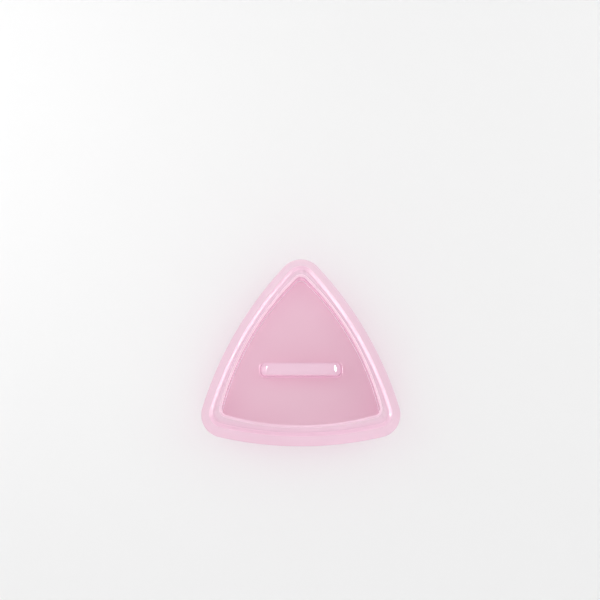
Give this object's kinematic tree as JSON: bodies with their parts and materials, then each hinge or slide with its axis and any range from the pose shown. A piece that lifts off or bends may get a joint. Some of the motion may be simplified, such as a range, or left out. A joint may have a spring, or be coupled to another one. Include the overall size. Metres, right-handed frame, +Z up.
{
  "type": "rice ball mold",
  "caption": "Triangular rice ball mold in translucent pink plastic: a bottomless stepped frame, and a loose press plate with a bar handle that lies inside it and lifts out.",
  "frame": {"origin": "on the table, under the middle of the frame's bounding box", "axes": "+Z up, along which the press lifts out; +X along the flat side; +Y towards the opposite corner"},
  "size_m": [0.0994, 0.0936, 0.028],
  "materials": {
    "frame_plastic": "translucent milky pink, smooth moulded, semi-gloss",
    "press_plastic": "translucent milky pink, smooth moulded, semi-gloss"
  },
  "bodies": {
    "frame": {"forming_frame": "frame_plastic"},
    "press": {"press_plate": "press_plastic"}
  },
  "joints": [
    {"name": "press_lift", "type": "slide", "parent": "frame", "child": "press", "axis": [0, 0, 1], "range_m": [0, 0.045]}
  ]
}
